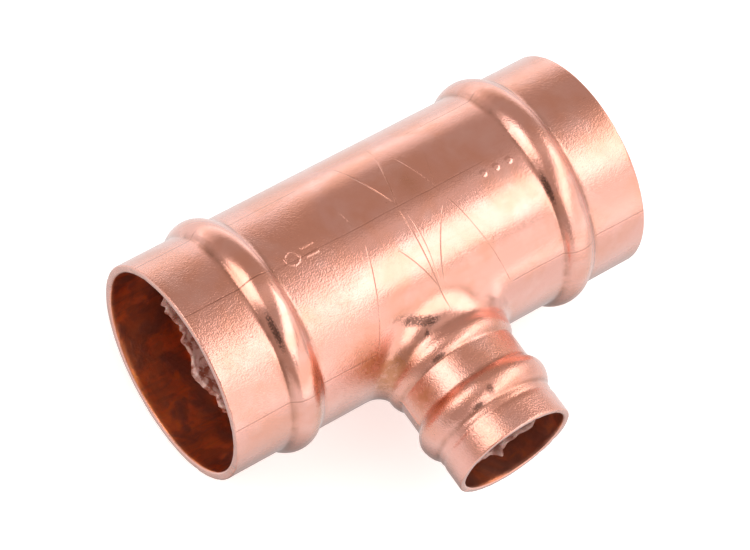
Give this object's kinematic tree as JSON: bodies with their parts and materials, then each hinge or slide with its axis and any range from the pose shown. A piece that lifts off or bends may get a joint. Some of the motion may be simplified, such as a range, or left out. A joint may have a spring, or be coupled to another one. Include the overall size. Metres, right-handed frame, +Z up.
{
  "type": "tee fitting",
  "caption": "Copper reducing tee for soldered tube, with a raised bead near each mouth that holds a ring of solder.",
  "frame": {"origin": "centre of the part's box in X and Y, on the surface that the run's two beads lie on", "axes": "X along the run, +Z up, and the branch points along -Y"},
  "size_m": [0.0644, 0.0476, 0.0328],
  "materials": {
    "copper": "semi-gloss bare copper",
    "solder": "dull grey tin-copper solder"
  },
  "bodies": {
    "root": {"tee_body": "copper", "solder_ring_left": "solder", "solder_ring_right": "solder", "solder_ring_branch": "solder"}
  },
  "joints": []
}
